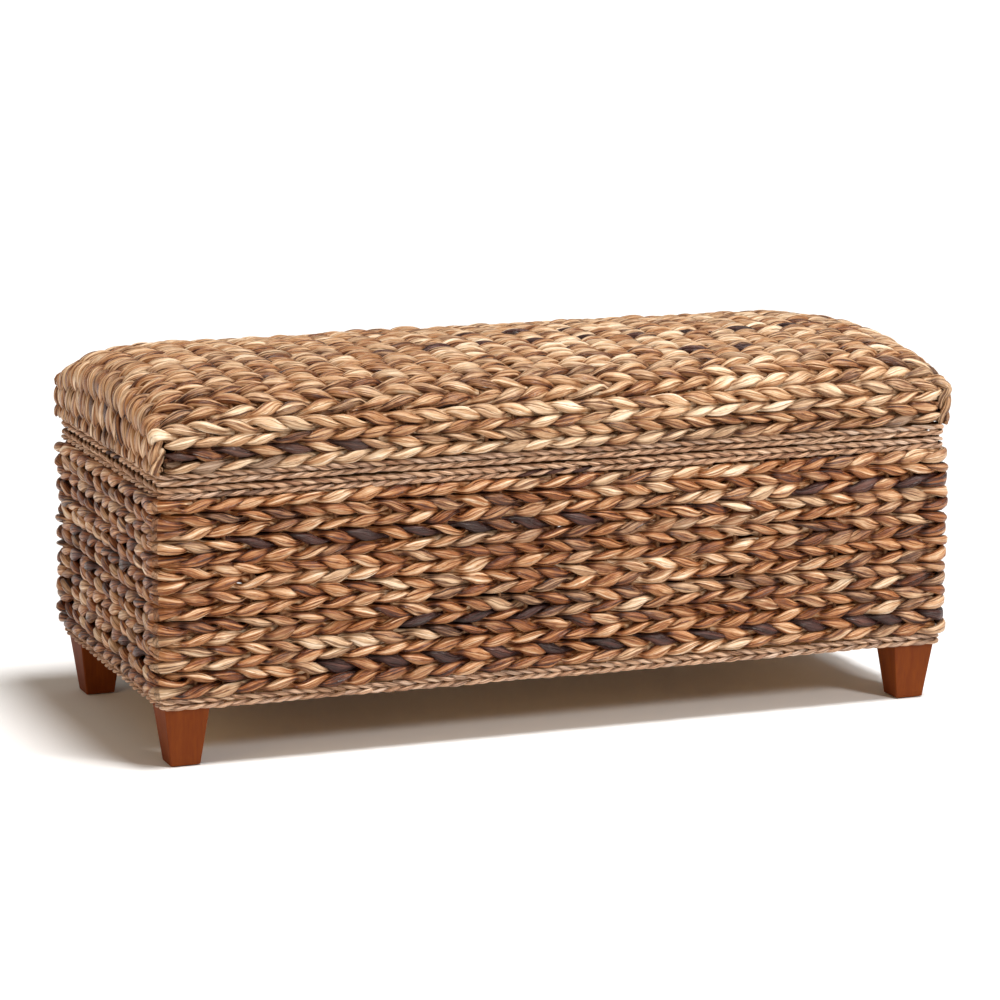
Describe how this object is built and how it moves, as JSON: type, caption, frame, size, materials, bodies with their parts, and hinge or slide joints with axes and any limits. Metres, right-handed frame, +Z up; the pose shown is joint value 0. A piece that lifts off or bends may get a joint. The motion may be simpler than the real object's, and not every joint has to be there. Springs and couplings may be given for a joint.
{
  "type": "wicker storage trunk",
  "caption": "Rectangular woven leaf storage trunk on tapered wooden feet, with a domed hinged lid held open by folding stays.",
  "frame": {"origin": "middle of the footprint on the ground, under the feet", "axes": "+X along the length, +Y from the front to the hinge side at the back, +Z up"},
  "size_m": [1.048, 0.464, 0.47],
  "materials": {
    "woven_leaf_body": "lacquered twined leaf strands, satin gloss",
    "woven_leaf_lid": "lacquered twined leaf strands, satin gloss",
    "trim_cord": "thin twisted leaf cord, satin",
    "rattan_stake": "peeled rattan, matte",
    "stained_hardwood": "red-brown stain, satin lacquer",
    "softwood_frame": "planed softwood, walnut-washed, matte",
    "plywood": "thin plywood, matte",
    "hinge_steel": "antique brass plated steel, satin",
    "stay_steel": "antique brass plated steel, satin",
    "felt_pad": "pressed felt",
    "glide_plastic": "nail-on plastic glide"
  },
  "bodies": {
    "trunk_body": {"foot_front_left": "stained_hardwood", "foot_front_right": "stained_hardwood", "foot_back_left": "stained_hardwood", "foot_back_right": "stained_hardwood", "foot_glides": "glide_plastic", "foot_bolts": "hinge_steel", "corner_post_front_left": "softwood_frame", "corner_post_front_right": "softwood_frame", "corner_post_back_left": "softwood_frame", "corner_post_back_right": "softwood_frame", "bottom_rail_front": "softwood_frame", "bottom_rail_back": "softwood_frame", "bottom_rail_left": "softwood_frame", "bottom_rail_right": "softwood_frame", "top_rail_front": "softwood_frame", "top_rail_back": "softwood_frame", "top_rail_left": "softwood_frame", "top_rail_right": "softwood_frame", "floor_batten_left": "softwood_frame", "floor_batten_right": "softwood_frame", "floor_panel": "plywood", "body_weave_front": "woven_leaf_body", "body_weave_back": "woven_leaf_body", "body_weave_left": "woven_leaf_body", "body_weave_right": "woven_leaf_body", "body_stakes_front": "rattan_stake", "body_stakes_back": "rattan_stake", "body_stakes_left": "rattan_stake", "body_stakes_right": "rattan_stake", "body_top_trim": "trim_cord", "body_bottom_trim": "trim_cord", "hinge_body_leaf_left": "hinge_steel", "hinge_body_leaf_right": "hinge_steel", "hinge_pins": "hinge_steel", "hinge_body_screws": "hinge_steel", "lid_rest_pads": "felt_pad", "stay_body_brackets": "stay_steel"},
    "lid": {"lid_rail_front": "softwood_frame", "lid_rail_back": "softwood_frame", "lid_rail_left": "softwood_frame", "lid_rail_right": "softwood_frame", "lid_rib_left": "softwood_frame", "lid_rib_middle": "softwood_frame", "lid_rib_right": "softwood_frame", "lid_ridge_slat": "softwood_frame", "lid_weave_top": "woven_leaf_lid", "lid_weave_front": "woven_leaf_lid", "lid_weave_back": "woven_leaf_lid", "lid_weave_left": "woven_leaf_lid", "lid_weave_right": "woven_leaf_lid", "lid_trim": "trim_cord", "hinge_lid_leaf_left": "hinge_steel", "hinge_lid_leaf_right": "hinge_steel", "hinge_lid_screws": "hinge_steel", "stay_lid_brackets": "stay_steel"},
    "stay_lower_left": {"stay_lower_arm_left": "stay_steel"},
    "stay_upper_left": {"stay_upper_arm_left": "stay_steel"},
    "stay_lower_right": {"stay_lower_arm_right": "stay_steel"},
    "stay_upper_right": {"stay_upper_arm_right": "stay_steel"}
  },
  "joints": [
    {"name": "lid_hinge", "type": "hinge", "parent": "trunk_body", "child": "lid", "pos_m": [0, 0.2275, 0.3431], "axis": [-1, 0, 0], "range_deg": [0, 95]},
    {"name": "stay_lower_pivot_left", "type": "hinge", "parent": "trunk_body", "child": "stay_lower_left", "pos_m": [-0.467, 0.146, 0.22], "axis": [-1, 0, 0], "range_deg": [0, 95]},
    {"name": "stay_elbow_left", "type": "hinge", "parent": "stay_lower_left", "child": "stay_upper_left", "pos_m": [-0.4645, -0.0155, 0.2369], "axis": [-1, 0, 0], "range_deg": [-95, 0]},
    {"name": "stay_lower_pivot_right", "type": "hinge", "parent": "trunk_body", "child": "stay_lower_right", "pos_m": [0.467, 0.146, 0.22], "axis": [-1, 0, 0], "range_deg": [0, 95]},
    {"name": "stay_elbow_right", "type": "hinge", "parent": "stay_lower_right", "child": "stay_upper_right", "pos_m": [0.4645, -0.0155, 0.2369], "axis": [-1, 0, 0], "range_deg": [-95, 0]}
  ],
  "couplings": [
    {"joint": "stay_lower_pivot_left", "follows": "lid_hinge", "ratio": 1},
    {"joint": "stay_elbow_left", "follows": "lid_hinge", "ratio": -1},
    {"joint": "stay_lower_pivot_right", "follows": "lid_hinge", "ratio": 1},
    {"joint": "stay_elbow_right", "follows": "lid_hinge", "ratio": -1}
  ]
}
